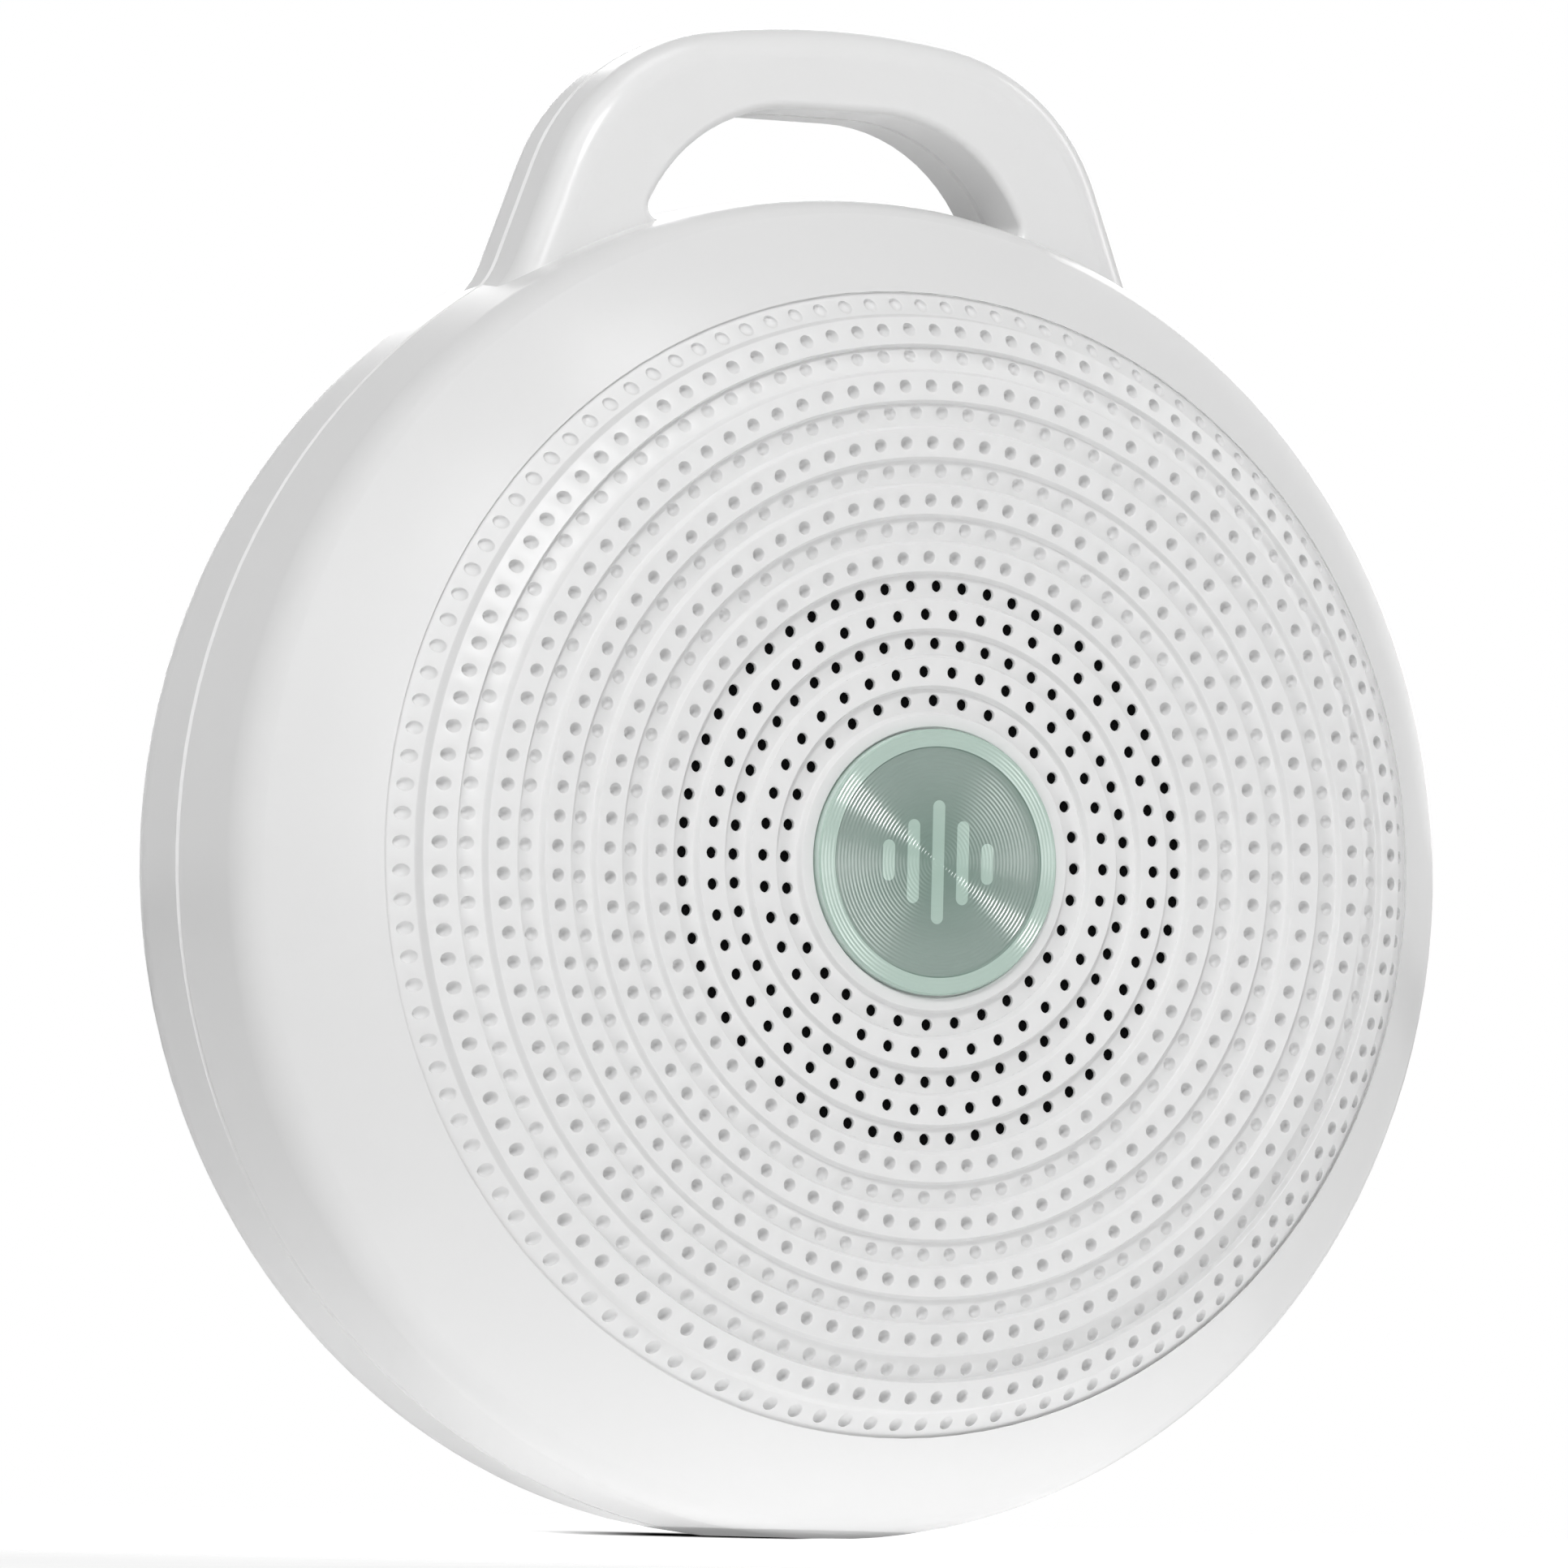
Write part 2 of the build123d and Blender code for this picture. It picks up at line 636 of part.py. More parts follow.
with BuildPart() as speaker_screws:
    posts(speaker_screw_head, flange_back, flange_back + speaker_screw_head_height,
          ring_places(ear_circle, ear_angles))
    posts(speaker_screw_shank, flange_back - speaker_screw_length + 0.2, flange_back,
          ring_places(ear_circle, ear_angles))
keep(speaker_screws, "speaker_screws")

# ================================================================================
# circuit board, battery, socket
# ================================================================================
with BuildPart() as circuit_board:
    posts(board_radius, board_depth, board_back, [(0, 0)])
    posts(board_hole, board_depth - 1, board_back + 1, ring_places(board_post_circle, corner_angles),
          mode=Mode.SUBTRACT)
keep(circuit_board, "circuit_board")

with BuildPart() as board_chips:
    block(6.0, 6.0, board_depth - 1.0, board_depth, x=-6.0, up=10.0)
    block(5.0, 4.0, board_depth - 1.0, board_depth, x=7.0, up=12.0)
    block(3.0, 1.6, board_depth - 0.8, board_depth, x=2.0, up=18.0)
    block(5.0, 6.0, board_depth - speaker_plug_height, board_depth, x=speaker_plug_place)
    block(6.0, 4.0, board_depth - battery_plug_height, board_depth, x=battery_plug_place, up=battery_plug_up)
keep(board_chips, "board_chips")

with BuildPart() as board_screws:
    posts(board_screw_head, board_depth - board_screw_head_height, board_depth,
          ring_places(board_post_circle, corner_angles))
    posts(board_screw_shank, board_depth, board_depth + board_screw_length,
          ring_places(board_post_circle, corner_angles))
keep(board_screws, "board_screws")

battery_middle = (battery_low + battery_top) / 2
battery_back = battery_front + battery_thickness
with BuildPart() as battery:
    block(battery_width, battery_height, battery_front, battery_back, up=battery_middle)
    fillet(battery.edges().filter_by(Axis.Z), radius=battery_thickness * battery_edge_share)
keep(battery, "battery")

with BuildPart() as battery_pad:
    block(pad_width, pad_height, battery_back, board_depth, up=battery_middle - 2)
keep(battery_pad, "battery_pad")

with BuildPart() as usb_socket:
    with BuildSketch(facing(board_back, 0, socket_place)) as can:
        SlotOverall(socket_width, socket_height)
    extrude(can.sketch, amount=board_back - socket_back)
    with BuildSketch(facing(board_back + 1.2, 0, socket_place)) as space:
        SlotOverall(socket_width - 2 * socket_skin, socket_height - 2 * socket_skin)
    extrude(space.sketch, amount=board_back + 1.2 - socket_back, mode=Mode.SUBTRACT)
    block(6.7, 0.7, board_back + 1.0, socket_back - 0.7, up=socket_place)
keep(usb_socket, "usb_socket")

with BuildPart() as status_led:
    block(1.6, 0.8, board_back, board_back + 0.6, up=led_place)
keep(status_led, "status_led")

with BuildPart() as light_pipe:
    posts(pipe_radius, board_back + 1.0, back_depth, [(0, led_place)])
    posts(pipe_flange, back_depth - wall - 1.0, back_depth - wall, [(0, led_place)])
keep(light_pipe, "light_pipe")

with BuildPart() as switch_bodies:
    for place in button_places.values():
        block(switch_size, switch_size, board_back, board_back + switch_height, x=place[0], up=place[1])
    posts(plunger_radius + plunger_clearance, board_back + switch_height - plunger_sink - press_travel - 0.1,
          board_back + 3, list(button_places.values()), mode=Mode.SUBTRACT)
keep(switch_bodies, "switch_bodies")

# ================================================================================
# buttons and their plungers
# ================================================================================
flange_stop = back_depth - wall - button_flange_gap
for name, place in button_places.items():
    with BuildPart() as button:
        posts(button_radius, flange_stop - button_flange_thickness, overall_depth, [place])
        fillet(button.faces().sort_by(Axis.Y)[-1].edges(), radius=button_edge)
        posts(button_flange, flange_stop - button_flange_thickness, flange_stop, [place])
        posts(button_stem, plunger_back, flange_stop, [place])
    keep(button, f"{name}_button")
    with BuildPart() as plunger:
        posts(plunger_radius, board_back + switch_height - plunger_sink, plunger_back, [place])
    keep(plunger, f"{name}_plunger")

# ================================================================================
# case screws and inner leads
# ================================================================================
with BuildPart() as case_screws:
    posts(case_head_radius, case_head_seat, case_head_seat + case_head_height,
          ring_places(case_circle, corner_angles))
    posts(case_shank_radius, case_screw_tip, case_head_seat, ring_places(case_circle, corner_angles))
keep(case_screws, "case_screws")


def lead(points, name):
    """A round lead through (x, depth, height above the axis) points with even bends."""
    with BuildPart() as piece:
        with BuildLine() as path:
            FilletPolyline(*[(x, at(depth), axis_height + up) for x, depth, up in points], radius=lead_bend)
        with BuildSketch(Plane(origin=path.line @ 0, z_dir=path.line % 0)) as section:
            Circle(lead_radius)
        sweep(section.sketch, path=path.line)
    keep(piece, name)


lead([
    (terminal_place, terminal_back, 0.0),
    (terminal_place, terminal_back + 4.0, 0.0),
    (speaker_plug_place, terminal_back + 8.0, 0.0),
    (speaker_plug_place, board_depth - speaker_plug_height, 0.0),
], "speaker_lead")
battery_core = (battery_front + battery_back) / 2
plug_core = board_depth - 2.5
lead([
    (battery_plug_place, battery_core, battery_top),
    (battery_plug_place, battery_core, battery_top + 2.5),
    (battery_plug_place, plug_core, battery_top + 5.0),
    (battery_plug_place, plug_core, battery_plug_up - 2.0),
], "battery_lead")
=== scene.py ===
"""Looks of the travel sound machine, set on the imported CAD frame."""

import bpy
from math import asin, atan2, cos, hypot, pi, radians, sin, sqrt
from mathutils import Matrix, Vector


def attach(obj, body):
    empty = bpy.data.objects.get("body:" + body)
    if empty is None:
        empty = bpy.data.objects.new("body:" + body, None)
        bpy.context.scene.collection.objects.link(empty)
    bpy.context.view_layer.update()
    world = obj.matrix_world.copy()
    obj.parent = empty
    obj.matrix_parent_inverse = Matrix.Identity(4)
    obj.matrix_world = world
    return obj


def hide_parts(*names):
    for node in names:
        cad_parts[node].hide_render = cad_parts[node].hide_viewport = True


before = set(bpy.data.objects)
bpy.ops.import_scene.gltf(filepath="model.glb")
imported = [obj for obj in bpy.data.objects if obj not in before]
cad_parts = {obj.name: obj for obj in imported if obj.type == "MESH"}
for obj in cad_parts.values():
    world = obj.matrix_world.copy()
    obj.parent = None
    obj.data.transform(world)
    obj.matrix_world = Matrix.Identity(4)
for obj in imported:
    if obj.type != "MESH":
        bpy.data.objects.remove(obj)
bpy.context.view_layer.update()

MM = 0.001
AXIS_HEIGHT = 44.2      # disc axis above the floor
FACE_TO_MIDDLE = 19.05  # badge face to the middle of the box


def at(depth):
    """Row y, in millimetres, of a station behind the badge face."""
    return depth - FACE_TO_MIDDLE


# ---- shader expressions ---------------------------------------------------------
class Value:
    """A shader socket that can be used in sums."""

    def __init__(self, finish, socket):
        self.finish = finish
        self.socket = socket

    def math(self, operation, *terms):
        return self.finish.node("Math", {"operation": operation}, list(terms))

    def __add__(self, other):
        return self.math("ADD", self, other)

    __radd__ = __add__

    def __sub__(self, other):
        return self.math("SUBTRACT", self, other)

    def __rsub__(self, other):
        return self.math("SUBTRACT", other, self)

    def __mul__(self, other):
        return self.math("MULTIPLY", self, other)

    __rmul__ = __mul__

    def __truediv__(self, other):
        return self.math("DIVIDE", self, other)

    def __rtruediv__(self, other):
        return self.math("DIVIDE", other, self)

    def __abs__(self):
        return self.math("ABSOLUTE", self)

    def sine(self):
        return self.math("SINE", self)

    def root(self):
        return self.math("SQRT", self)

    def most(self, other):
        return self.math("MAXIMUM", self, other)

    def step(self, low, high):
        """Rises softly from 0 at low to 1 at high."""
        return self.finish.node(
            "MapRange", {"interpolation_type": "SMOOTHSTEP"},
            {"Value": self, "From Min": low, "From Max": high, "To Min": 0.0, "To Max": 1.0})


class Finish:
    """One procedural material, written as expressions."""

    def __init__(self, name):
        self.material = bpy.data.materials.new(name)
        self.material.use_nodes = True
        self.tree = self.material.node_tree
        self.tree.nodes.clear()
        self.place = self.node("TexCoord", output="Object")

    def node(self, kind, settings=None, inputs=None, output=0):
        """Adds a node; its inputs are a list in socket order, or a dictionary by name."""
        made = self.tree.nodes.new("ShaderNode" + kind)
        for key, setting in (settings or {}).items():
            setattr(made, key, setting)
        pairs = enumerate(inputs) if isinstance(inputs, list) else (inputs or {}).items()
        for key, value in pairs:
            socket = made.inputs[key]
            if isinstance(value, Value):
                self.tree.links.new(value.socket, socket)
            elif socket.type == "RGBA":
                socket.default_value = (*value, 1.0)
            else:
                socket.default_value = value
        return Value(self, made.outputs[output])

    def axes(self):
        """Place on the object in millimetres: across, along the depth, above the disc axis."""
        x, y, z = (self.node("SeparateXYZ", inputs=[self.place], output=i) for i in range(3))
        return x * 1000.0, y * 1000.0, z * 1000.0 - AXIS_HEIGHT

    def noise(self, scale, detail=2.0, stretch=None):
        place = self.place
        if stretch:
            place = self.node("Mapping", inputs={"Vector": self.place, "Scale": stretch})
        return self.node("TexNoise", inputs={"Vector": place, "Scale": scale, "Detail": detail})

    def blend(self, factor, first, second):
        """Colour between two colours."""
        return self.node(
            "Mix", {"data_type": "RGBA"},
            {"Factor": factor, 6: first, 7: second}, output=2)

    def bump(self, height, strength, depth):
        return self.node(
            "Bump", inputs={"Strength": strength, "Distance": depth, "Height": height},
            output="Normal")

    def surface(self, **sockets):
        """Principled surface; a socket is named with underscores for its spaces."""
        named = {key.replace("_", " "): value for key, value in sockets.items()}
        return self.out(self.node("BsdfPrincipled", inputs=named))

    def out(self, shader):
        made = self.tree.nodes.new("ShaderNodeOutputMaterial")
        self.tree.links.new(shader.socket, made.inputs["Surface"])
        return self.material


# ---- finishes -------------------------------------------------------------------
def shade_of(colour, level):
    return tuple(channel * level for channel in colour)


def moulded_white(name, colour, roughness, seed):
    """Satin white moulded plastic with a faint flow mottle and a very fine grain."""
    f = Finish(name)
    flow = f.noise(22.0 + seed, 2.0)
    grain = f.noise(5200.0, 1.0)
    tone = f.blend(flow.step(0.35, 0.65), shade_of(colour, 0.985), colour)
    return f.surface(
        Base_Color=tone, Roughness=flow * 0.05 + roughness, IOR=1.47,
        Normal=f.bump(grain, 0.05, 0.00002))


# the badge's print, in millimetres
RIM_RADIUS, PRINT_SOFTNESS = 7.55, 0.02
LEVEL_BARS = ((-3.6, 0.9), (-1.8, 2.3), (0.0, 3.6), (1.8, 2.3), (3.6, 0.9))  # across, half length
BAR_HALF_WIDTH = 0.44
SPUN_PITCH = 0.25


def badge_print():
    """Spun metal disc under a mint print: a pale rim, a sage field and five level bars."""
    f = Finish("mint_badge")
    across, depth, up = f.axes()
    radius = (across * across + up * up).root()
    pale = radius.step(RIM_RADIUS - PRINT_SOFTNESS, RIM_RADIUS + PRINT_SOFTNESS)
    for place, reach in LEVEL_BARS:
        end = (abs(up) - reach).most(0.0)
        side = across - place
        away = (side * side + end * end).root()
        pale = pale.most(
            1 - away.step(BAR_HALF_WIDTH - PRINT_SOFTNESS, BAR_HALF_WIDTH + PRINT_SOFTNESS))
    mottle = f.noise(260.0).step(0.3, 0.7)
    field = f.blend(mottle, (0.145, 0.228, 0.188), (0.155, 0.240, 0.200))
    face = f.blend(pale, field, (0.375, 0.515, 0.445))
    # painted light: the badge's side wall is coloured paler to lift its shade
    side_painted_paler = (depth + FACE_TO_MIDDLE).step(0.10, 0.20)
    colour = f.blend(side_painted_paler, face, (0.62, 0.75, 0.69))
    grooves = (radius * (2 * pi / SPUN_PITCH)).sine()
    paint = f.node("BsdfPrincipled", inputs={
        "Base Color": colour, "Roughness": 0.32 + pale * 0.06, "Specular IOR Level": 0.3})
    spun = f.node("BsdfPrincipled", inputs={
        "Base Color": (1.0, 1.0, 1.0), "Metallic": 1.0, "Roughness": 0.15,
        "Normal": f.bump(grooves, 1.0, 0.000024)})
    shine = radius.step(0.5, 6.5) * 0.10 + 0.03
    return f.out(f.node("MixShader", inputs=[shine, paint, spun]))


def speckled(name, colour, roughness, metallic=0.0, scale=400.0, spread=0.25, bump=0.15,
             depth=0.00005):
    """A plain finish with an even speckle, for moulded, painted and cast pieces."""
    f = Finish(name)
    speck = f.noise(scale, 3.0)
    tone = f.blend(speck.step(0.35, 0.65), shade_of(colour, 1 - spread), colour)
    return f.surface(
        Base_Color=tone, Roughness=roughness + speck * 0.1, Metallic=metallic,
        Normal=f.bump(speck, bump, depth))


def foam(name, colour):
    return speckled(name, colour, 0.95, scale=2500.0, bump=0.6, depth=0.0002)


def brushed(name, colour, roughness, stretch):
    """Plated steel with drawing lines along one direction."""
    f = Finish(name)
    lines = f.noise(300.0, 3.0, stretch=stretch)
    tone = f.blend(lines.step(0.3, 0.7), shade_of(colour, 0.86), colour)
    return f.surface(
        Base_Color=tone, Roughness=roughness + lines * 0.12, Metallic=1.0,
        Normal=f.bump(lines, 0.2, 0.00003))


def woven(name, colour, pitch):
    """Cloth with crossing threads of one pitch, in millimetres."""
    f = Finish(name)
    across, depth, up = f.axes()
    turn = 2 * pi / pitch
    weave = (across * turn).sine() * (up * turn).sine()
    tone = f.blend(weave.step(-0.6, 0.8), shade_of(colour, 0.6), colour)
    return f.surface(
        Base_Color=tone, Roughness=0.9, Specular_IOR_Level=0.1,
        Normal=f.bump(weave, 0.5, 0.0001))


def ringed(name, colour, roughness, metallic, pitch, along_depth=False):
    """Wound or pressed rings round the disc axis."""
    f = Finish(name)
    across, depth, up = f.axes()
    radius = (across * across + up * up).root()
    rings = ((depth if along_depth else radius) * (2 * pi / pitch)).sine()
    tone = f.blend(rings.step(-0.8, 0.8), shade_of(colour, 0.7), colour)
    return f.surface(
        Base_Color=tone, Roughness=roughness, Metallic=metallic,
        Normal=f.bump(rings, 0.4, 0.00006))


def laminate():
    """Green board with paler copper runs under the lacquer."""
    f = Finish("board_lacquer")
    cells = f.node("TexBrick", inputs={
        "Vector": f.place, "Scale": 160.0, "Mortar Size": 0.06, "Mortar Smooth": 0.2},
        output="Fac")
    tone = f.blend(cells, (0.012, 0.09, 0.045), (0.03, 0.16, 0.08))
    return f.surface(Base_Color=tone, Roughness=0.35, Normal=f.bump(cells, 0.2, 0.00003))


def clear_rod():
    """Clear plastic light guide with a faint haze."""
    f = Finish("clear_rod")
    haze = f.noise(900.0, 2.0)
    tone = f.blend(haze, (0.80, 0.84, 0.84), (0.93, 0.95, 0.95))
    return f.surface(
        Base_Color=tone, Roughness=0.12 + haze * 0.1, IOR=1.49, Transmission_Weight=0.6,
        Normal=f.bump(haze, 0.05, 0.00002))


shell_white = moulded_white("shell_white", (0.83, 0.83, 0.83), 0.22, 0)
grille_white = moulded_white("grille_white", (0.83, 0.83, 0.83), 0.36, 5)
button_white = moulded_white("button_white", (0.80, 0.80, 0.795), 0.36, 9)
black_cloth = woven("black_cloth", (0.002, 0.002, 0.0022), 0.22)
black_plastic = speckled("black_plastic", (0.03, 0.03, 0.032), 0.5)
plunger_grey = speckled("plunger_grey", (0.10, 0.10, 0.11), 0.45)
node_finish = {
    "front_shell": shell_white,
    "rear_shell": shell_white,
    "speaker_grille": grille_white,
    "badge": badge_print(),
    "acoustic_mesh": black_cloth,
    "speaker_gasket": foam("gasket_foam", (0.05, 0.05, 0.05)),
    "speaker_frame": speckled("basket_black", (0.03, 0.03, 0.032), 0.45, metallic=0.3),
    "speaker_top_plate": brushed("washer_steel", (0.60, 0.60, 0.61), 0.30, (1.0, 8.0, 1.0)),
    "speaker_magnet": speckled("ferrite_grey", (0.07, 0.07, 0.075), 0.65, scale=1500.0),
    "speaker_yoke": brushed("yoke_steel", (0.58, 0.58, 0.60), 0.32, (1.0, 8.0, 1.0)),
    "voice_coil": ringed("coil_copper", (0.80, 0.36, 0.16), 0.35, 1.0, 0.18, along_depth=True),
    "speaker_cone": ringed("cone_paper", (0.035, 0.035, 0.036), 0.9, 0.0, 1.4),
    "dust_cap": speckled("cap_paper", (0.045, 0.045, 0.046), 0.85, scale=1800.0),
    "surround": speckled("surround_rubber", (0.03, 0.03, 0.03), 0.75, scale=1200.0),
    "spider": woven("spider_cloth", (0.55, 0.38, 0.14), 0.35),
    "speaker_screws": brushed("speaker_screw_steel", (0.66, 0.66, 0.67), 0.28, (4.0, 1.0, 4.0)),
    "circuit_board": laminate(),
    "board_chips": speckled("chip_black", (0.03, 0.03, 0.033), 0.55, scale=2200.0),
    "board_screws": brushed("board_screw_steel", (0.66, 0.66, 0.67), 0.28, (4.0, 1.0, 4.0)),
    "battery": speckled(
        "battery_pouch", (0.45, 0.47, 0.50), 0.35, metallic=0.6, scale=120.0, spread=0.08),
    "battery_pad": foam("pad_foam", (0.05, 0.05, 0.055)),
    "usb_socket": brushed("socket_steel", (0.68, 0.68, 0.70), 0.25, (1.0, 8.0, 1.0)),
    "status_led": speckled("lamp_resin", (0.80, 0.72, 0.40), 0.3, scale=3000.0, spread=0.1),
    "light_pipe": clear_rod(),
    "switch_bodies": black_plastic,
    "case_screws": brushed("case_screw_steel", (0.64, 0.64, 0.66), 0.30, (4.0, 1.0, 4.0)),
    "speaker_lead": speckled("red_lead", (0.42, 0.03, 0.03), 0.5, scale=1500.0),
    "battery_lead": speckled("dark_lead", (0.03, 0.03, 0.03), 0.5, scale=1500.0),
}
for key in ("power", "sound", "volume_up", "volume_down"):
    node_finish[key + "_button"] = button_white
    node_finish[key + "_plunger"] = plunger_grey
for name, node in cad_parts.items():
    node.data.materials.clear()
    node.data.materials.append(node_finish[name])


# ---- grille face, in millimetres; depths are behind the badge face --------------
LAND_DEPTH, LAND_RADIUS = 0.55, 16.0                    # flat middle
BROW_DEPTH, BROW_RADIUS, BROW_BEND = 0.25, 28.0, 13.0   # where the dome starts to bend back
FACE_THICKNESS = 1.8
GROOVE_FIRST, GROOVE_PITCH, GROOVE_COUNT, GROOVE_DEPTH = 10.6, 3.73, 8, 0.57
FLOOR_HALF, TOP_HALF = 0.72, 0.95                       # half widths of a groove
GRILLE_EDGE, EDGE_ROUNDING, EDGE_DROP, SEAT_DEPTH = 37.54, 0.12, 0.04, 8.0
BACK_DEPTH, OPENING_RADIUS = 2.05, 19.5
RECESS_RADIUS, RECESS_DEPTH, RECESS_ROUNDING = 8.85, 1.0, 0.06
FLANGE_RADIUS, FLANGE_BACK, SKIRT_RADIUS = 38.7, 9.9, 36.2
SOUND_HOLE, DIMPLE = 0.39, 0.425                        # radii
MOUTH_ROUNDING = 0.06
# radius of a row, how many holes, where the first one stands (0 at the top, 0.5 half a step on)
GROOVE_ROWS = [(10.59, 32, 0), (14.32, 48, 0), (18.06, 60, 0), (21.84, 72, 0), (25.58, 84, 0),
               (29.39, 96, 0), (33.12, 108, 0), (36.63, 124, 0)]
CREST_ROWS = [(12.45, 38, 0.5), (16.19, 50, 0.5), (19.89, 66, 0.5), (23.61, 78, 0.5),
              (27.37, 90, 0.5), (31.10, 102, 0.5), (34.89, 116, 0)]
THROUGH_GROOVES, THROUGH_CRESTS = 3, 2
CREST_DIMPLE, GROOVE_DIMPLE = (0.84, 2.2), (0.56, 2.4)  # how deep, and how flat its floor is
DIMPLE_RINGS = (0.985, 0.92, 0.78, 0.55, 0.25)  # parts of the dimple's radius
CLOTH_DEPTH, CLOTH_SPARE = 0.34, 0.02  # black cloth just under a through hole's rim, also painted shade of its depth
HOLE_SIDES, LATHE_STEPS, WALL_STEPS = 16, 360, 8


def face_depth(radius, sunk=0.0):
    """Depth of the grille face, or of a face sunk under it, at a radius."""
    if radius <= LAND_RADIUS:
        return LAND_DEPTH + sunk
    if radius <= BROW_RADIUS:
        way = (radius - LAND_RADIUS) / (BROW_RADIUS - LAND_RADIUS)
        return LAND_DEPTH + (BROW_DEPTH - LAND_DEPTH) * way + sunk
    reach = BROW_BEND - sunk
    return BROW_DEPTH + BROW_BEND - sqrt(reach * reach - (radius - BROW_RADIUS) ** 2)


def hole_kind(through, dimple):
    """Radius and floor of the holes in a row; a through hole has no floor."""
    return (SOUND_HOLE, None) if through else (DIMPLE, dimple)


def mouth_line(hole, floor):
    """Points (reach, drop) from the rounded rim of a hole down to its floor or to the cloth."""
    bend = MOUTH_ROUNDING * 0.3
    line = [(hole + MOUTH_ROUNDING, 0.0), (hole + bend, bend), (hole, MOUTH_ROUNDING)]
    if floor is None:
        return line + [(hole, CLOTH_DEPTH + CLOTH_SPARE)]
    deep, flat = floor
    for part in DIMPLE_RINGS:
        bowl = sqrt(1 - part ** flat)
        line.append((hole * part, MOUTH_ROUNDING + (deep - MOUTH_ROUNDING) * bowl))
    return line


class MeshMaker:
    """Collects corners and faces, in millimetres, as radius, angle and depth."""

    def __init__(self):
        self.corners = []
        self.faces = []

    def corner(self, radius, angle, depth):
        self.corners.append(
            (radius * cos(angle) * MM, at(depth) * MM, (AXIS_HEIGHT + radius * sin(angle)) * MM))
        return len(self.corners) - 1

    def lathe(self, line):
        """Turns a line of (radius, depth) points; its left side faces outwards."""
        rings = []
        for radius, depth in line:
            if radius == 0:
                rings.append([self.corner(0, 0, depth)] * LATHE_STEPS)
            else:
                rings.append([self.corner(radius, 2 * pi * n / LATHE_STEPS, depth)
                              for n in range(LATHE_STEPS)])
        for inner, outer in zip(rings, rings[1:]):
            for n in range(LATHE_STEPS):
                m = (n + 1) % LATHE_STEPS
                face = [inner[n], outer[n], outer[m], inner[m]]
                self.faces.append([c for i, c in enumerate(face) if c not in face[:i]])

    def square_ring(self, low, high, centre, half, sunk):
        """Corners round the piece of a band that one hole stands in."""
        middle = (low + high) / 2
        ring = []
        for i in range(HOLE_SIDES):
            a = 2 * pi * i / HOLE_SIDES
            scale = 1 / max(abs(cos(a)), abs(sin(a)))
            r = middle + sin(a) * scale * (high - middle)
            ring.append(self.corner(r, centre - cos(a) * scale * half, face_depth(r, sunk)))
        return ring

    def hole_ring(self, radius, centre, reach, sunk, drop):
        """Corners round one hole, at a drop under the face."""
        ring = []
        for i in range(HOLE_SIDES):
            a = 2 * pi * i / HOLE_SIDES
            across, out = -reach * cos(a), radius + reach * sin(a)
            r = hypot(across, out)
            ring.append(self.corner(r, centre + atan2(across, out), face_depth(r, sunk) + drop))
        return ring

    def ring_of_holes(self, low, high, sunk, row, hole, floor, cloth):
        """A band of the face with a row of dimples, or of through holes holding cloth that also
        paints their shade.
        """
        radius, count, shift = row
        half = pi / count
        mouth = mouth_line(hole, floor)
        for number in range(count):
            centre = pi / 2 + (number + shift) * 2 * half
            rings = [self.square_ring(low, high, centre, half, sunk)]
            for reach, drop in mouth:
                rings.append(self.hole_ring(radius, centre, reach, sunk, drop))
            for outer, inner in zip(rings, rings[1:]):
                for i in range(HOLE_SIDES):
                    j = (i + 1) % HOLE_SIDES
                    self.faces.append([outer[j], outer[i], inner[i], inner[j]])
            if floor is None:
                # painted shade: a shallow black disc stands for the cloth behind and the hole's
                # dark depth
                disc = cloth.hole_ring(radius, centre, hole + CLOTH_SPARE / 2, sunk, CLOTH_DEPTH)
                cloth.faces.append(list(reversed(disc)))
            else:
                self.faces.append(list(reversed(rings[-1])))

    def make(self, name, finish, crease=55.0):
        mesh = bpy.data.meshes.new(name)
        mesh.from_pydata(self.corners, [], self.faces)
        mesh.materials.append(finish)
        mesh.polygons.foreach_set("use_smooth", [True] * len(mesh.polygons))
        mesh.update()
        mesh.set_sharp_from_angle(angle=radians(crease))
        piece = bpy.data.objects.new(name, mesh)
        bpy.context.scene.collection.objects.link(piece)
        return piece


def groove_wall(start, end, rising):
    """Softly rounded wall between a crest and a groove floor, from start to end radius."""
    line = []
    for n in range(WALL_STEPS + 1):
        way = n / WALL_STEPS
        radius = start + (end - start) * way
        ease = way * way * (3 - 2 * way)
        top, floor = face_depth(radius), face_depth(radius, GROOVE_DEPTH)
        line.append((radius, top + (floor - top) * (1 - ease if rising else ease)))
    return line


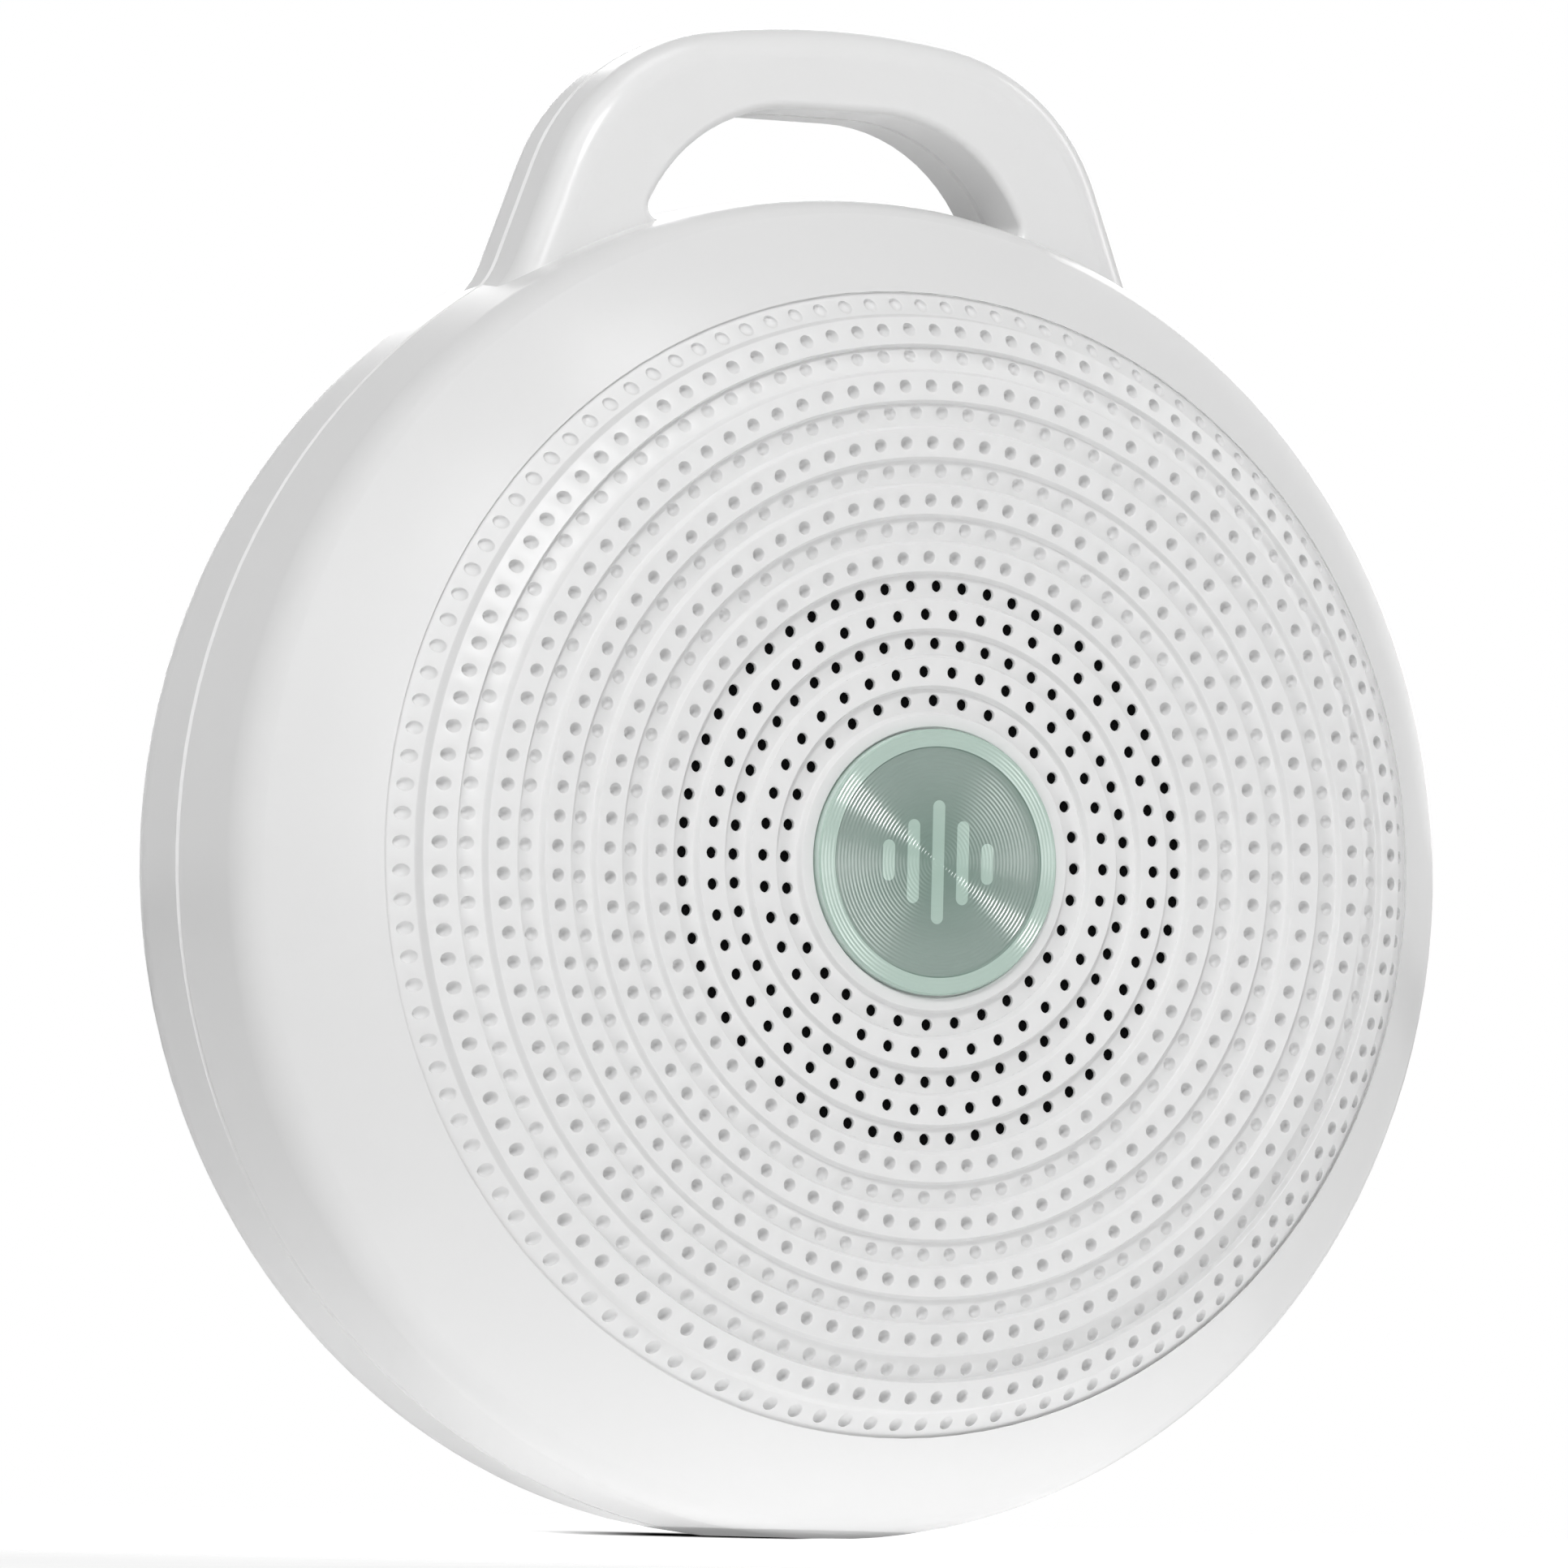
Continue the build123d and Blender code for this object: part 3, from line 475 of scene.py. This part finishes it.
def grille_face():
    """The round grille: dome, grooves, rows of holes and dimples, skirt and flange."""
    m, cloth = MeshMaker(), MeshMaker()
    rim, bend = RECESS_ROUNDING, RECESS_ROUNDING / 3
    m.lathe([(0, RECESS_DEPTH), (RECESS_RADIUS, RECESS_DEPTH), (RECESS_RADIUS, LAND_DEPTH + rim),
             (RECESS_RADIUS + bend, LAND_DEPTH + bend), (RECESS_RADIUS + rim, LAND_DEPTH),
             (GROOVE_FIRST - TOP_HALF, LAND_DEPTH)])
    for k in range(GROOVE_COUNT):
        groove = GROOVE_FIRST + GROOVE_PITCH * k
        low, high = groove - FLOOR_HALF, groove + FLOOR_HALF
        outermost = k == GROOVE_COUNT - 1
        if outermost:
            high = GRILLE_EDGE - EDGE_ROUNDING
        m.lathe(groove_wall(groove - TOP_HALF, low, rising=False))
        hole, floor = hole_kind(k < THROUGH_GROOVES, GROOVE_DIMPLE)
        m.ring_of_holes(low, high, GROOVE_DEPTH, GROOVE_ROWS[k], hole, floor, cloth)
        if not outermost:
            crest, next_groove = groove + TOP_HALF, groove + GROOVE_PITCH
            m.lathe(groove_wall(high, crest, rising=True))
            hole, floor = hole_kind(k < THROUGH_CRESTS, CREST_DIMPLE)
            m.ring_of_holes(crest, next_groove - TOP_HALF, 0.0, CREST_ROWS[k], hole, floor, cloth)
    edge = face_depth(GRILLE_EDGE - EDGE_ROUNDING, GROOVE_DEPTH)
    back_reach = BROW_BEND - FACE_THICKNESS
    lean = asin((SKIRT_RADIUS - BROW_RADIUS) / back_reach)
    turns = [lean * n / WALL_STEPS for n in range(WALL_STEPS, -1, -1)]
    back = [(BROW_RADIUS + back_reach * sin(turn), BROW_DEPTH + BROW_BEND - back_reach * cos(turn))
            for turn in turns]
    m.lathe([(GRILLE_EDGE - EDGE_ROUNDING, edge), (GRILLE_EDGE, edge + EDGE_DROP),
             (GRILLE_EDGE, SEAT_DEPTH), (FLANGE_RADIUS, SEAT_DEPTH), (FLANGE_RADIUS, FLANGE_BACK),
             (SKIRT_RADIUS, FLANGE_BACK)] + back)
    m.lathe([(BROW_RADIUS, BACK_DEPTH), (OPENING_RADIUS, BACK_DEPTH)])
    piece = m.make("grille_face", grille_white)
    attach(piece, "housing")
    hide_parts("speaker_grille")
    # black cloth discs in the through holes, also painted shade of the holes' depth
    inside = cloth.make("hole_cloth_and_shade", black_cloth)
    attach(inside, "housing")


grille_face()


# ---- floor, light, camera -------------------------------------------------------
AMBIENT = 0.05       # world light on dull surfaces
MIRRORED = 0.85      # world light seen in a reflection or through clear plastic
FLOOR_GLOW = 0.13    # light that the floor throws back
FLOOR_SHOWN = 0.7    # light of the floor as seen, which makes it white
FLOOR_REACH = 4.0
VIEW_X, VIEW_Y, FOOT_DISTANCE = 0.4462, 0.8936, 0.983  # level view direction, metres to the foot
LEVEL_TILT, CLOSE_TILT = 7.6, 9.5  # how the painted shadow's far and close lines rise to the side


def studio_floor():
    """White floor with painted contact shadow and painted front shade; far away it only throws
    light back.
    """
    f = Finish("studio_floor")
    x, y = (part / 1000 for part in f.axes()[:2])
    away = (x * x + y * y).root()
    tone = f.blend(f.noise(40.0), (0.92, 0.92, 0.92), (0.94, 0.94, 0.94))
    # the painted contact shadow lies round the foot, in a frame turned with the view direction
    side = x * VIEW_Y - y * VIEW_X
    nearness = 1 / (x * VIEW_X + y * VIEW_Y + FOOT_DISTANCE)
    level = nearness + side * LEVEL_TILT
    close_line = 1.06 - side.most(0.0) * CLOSE_TILT
    # painted shadow: a band of black laid on the floor behind and beside the foot
    painted_shadow_streak = level.step(0.76, 0.93) * (1 - (level - close_line).step(-0.03, 0.03))
    ends = side.step(-0.020, -0.009) * (1 - side.step(0.006, 0.023))
    # painted shade: a faint grey on the floor nearest the camera
    painted_front_shade = nearness.step(1.0, 1.7) * (1 - nearness.step(1.7, 2.4)) * 0.13
    trail = 1 - away.step(0.02, 0.065)  # the painted shadow fades out on both sides of the foot
    shade = (painted_shadow_streak * ends * trail).most(painted_front_shade)
    # painted shadow: the seen floor turns to this black where the shade mask is high
    black = f.node("BsdfDiffuse", inputs={"Color": (0.0, 0.0, 0.0)})
    bounce, lit = (f.node("BsdfPrincipled", inputs={
        "Base Color": tone, "Roughness": 0.9, "Specular IOR Level": 0.0,
        "Emission Color": (1.0, 1.0, 1.0), "Emission Strength": glow})
        for glow in (FLOOR_GLOW, FLOOR_SHOWN))
    close = f.node("MixShader", inputs=[away.step(0.18, 0.5), lit, f.node("BsdfTransparent")])
    shown = f.node("MixShader", inputs=[shade, close, black])
    seen = f.node("LightPath", output="Is Camera Ray")
    surface = f.node("MixShader", inputs=[seen, bounce, shown])
    mesh = bpy.data.meshes.new("studio_floor")
    corners = [(i * FLOOR_REACH, j * FLOOR_REACH, 0)
               for i, j in ((-1, -1), (1, -1), (1, 1), (-1, 1))]
    mesh.from_pydata(corners, [], [(0, 1, 2, 3)])
    mesh.materials.append(f.out(surface))
    floor = bpy.data.objects.new("studio_floor", mesh)
    bpy.context.scene.collection.objects.link(floor)


def soft_box(name, place, size, power, aim=(0, 0, 0.05)):
    """Rectangular soft box at a place, turned towards a point."""
    lamp = bpy.data.lights.new(name, "AREA")
    lamp.shape = "RECTANGLE"
    lamp.size, lamp.size_y = size
    lamp.energy = power
    box = bpy.data.objects.new(name, lamp)
    box.location = place
    box.rotation_mode = "QUATERNION"
    box.rotation_quaternion = (Vector(aim) - Vector(place)).to_track_quat("-Z", "Y")
    box.visible_camera = False
    bpy.context.scene.collection.objects.link(box)


def studio_world():
    """White for the camera, nearly white in reflections, almost dark as a light."""
    world = bpy.data.worlds.new("studio_world")
    world.use_nodes = True
    tree = world.node_tree
    tree.nodes.clear()

    def background(strength):
        sky = tree.nodes.new("ShaderNodeBackground")
        sky.inputs["Color"].default_value = (1, 1, 1, 1)
        sky.inputs["Strength"].default_value = strength
        return sky.outputs[0]

    def joined(kind, *sockets):
        made = tree.nodes.new(kind)
        for place, socket in enumerate(sockets):
            tree.links.new(socket, made.inputs[place])
        return made

    rays = tree.nodes.new("ShaderNodeLightPath").outputs
    either = joined("ShaderNodeMath", rays["Is Glossy Ray"], rays["Is Transmission Ray"])
    either.operation = "MAXIMUM"
    light = joined(
        "ShaderNodeMixShader", either.outputs[0], background(AMBIENT), background(MIRRORED))
    sky = joined("ShaderNodeMixShader", rays["Is Camera Ray"], light.outputs[0], background(1.0))
    joined("ShaderNodeOutputWorld", sky.outputs[0])
    bpy.context.scene.world = world


def camera():
    lens = bpy.data.cameras.new("camera")
    lens.lens, lens.sensor_width, lens.sensor_fit = 341.036, 36.0, "AUTO"
    lens.clip_start, lens.clip_end = 0.05, 50.0
    right = Vector((0.8939402, -0.4476043, 0.0228344))
    up = Vector((-0.0416755, -0.0322891, 0.9986093))
    forward = Vector((0.4462445, 0.8936486, 0.0475187))
    eye = bpy.data.objects.new("camera", lens)
    eye.matrix_world = Matrix.Translation((-0.4410147, -0.8794211, 0.0030711)) @ Matrix(
        (right, up, -forward)).transposed().to_4x4()
    bpy.context.scene.collection.objects.link(eye)
    bpy.context.scene.camera = eye


studio_floor()
# name, place, size, power and, for the two on the floor, the point they face
LAMPS = [
    ("front_left_key", (-0.372, -0.731, 0.624), (0.19, 0.19), 3.55),
    ("left_key", (-0.55, -0.40, 0.78), (0.4, 0.4), 1.1),
    ("left_fill", (-0.80, -0.30, 0.60), (0.4, 0.4), 0.3),
    ("left_edge_strip", (-0.86, -0.43, 0.20), (0.05, 0.6), 0.8),
    ("high_key", (-0.10, -0.25, 1.0), (0.4, 0.4), 1.4),
    ("low_left_strip", (-0.273, -0.751, 0.022), (0.8, 0.08), 0.2),
    ("low_right_strip", (0.25, -0.70, 0.03), (0.5, 0.1), 0.5),
    ("back_right_box", (0.470, 0.814, 0.392), (0.6, 0.6), 3.0),
    ("right_strip", (0.925, -0.163, 0.392), (0.15, 0.9), 2.5),
    ("front_glow", (0.01, -0.045, 0.001), (0.16, 0.05), 0.002, (0.01, -0.045, 1)),
    ("under_glow", (0.006, -0.002, 0.0005), (0.115, 0.036), 0.0033, (0.006, -0.002, 1)),
]
for lamp in LAMPS:
    soft_box(*lamp)
studio_world()
bpy.context.scene.view_settings.view_transform = "Standard"
camera()
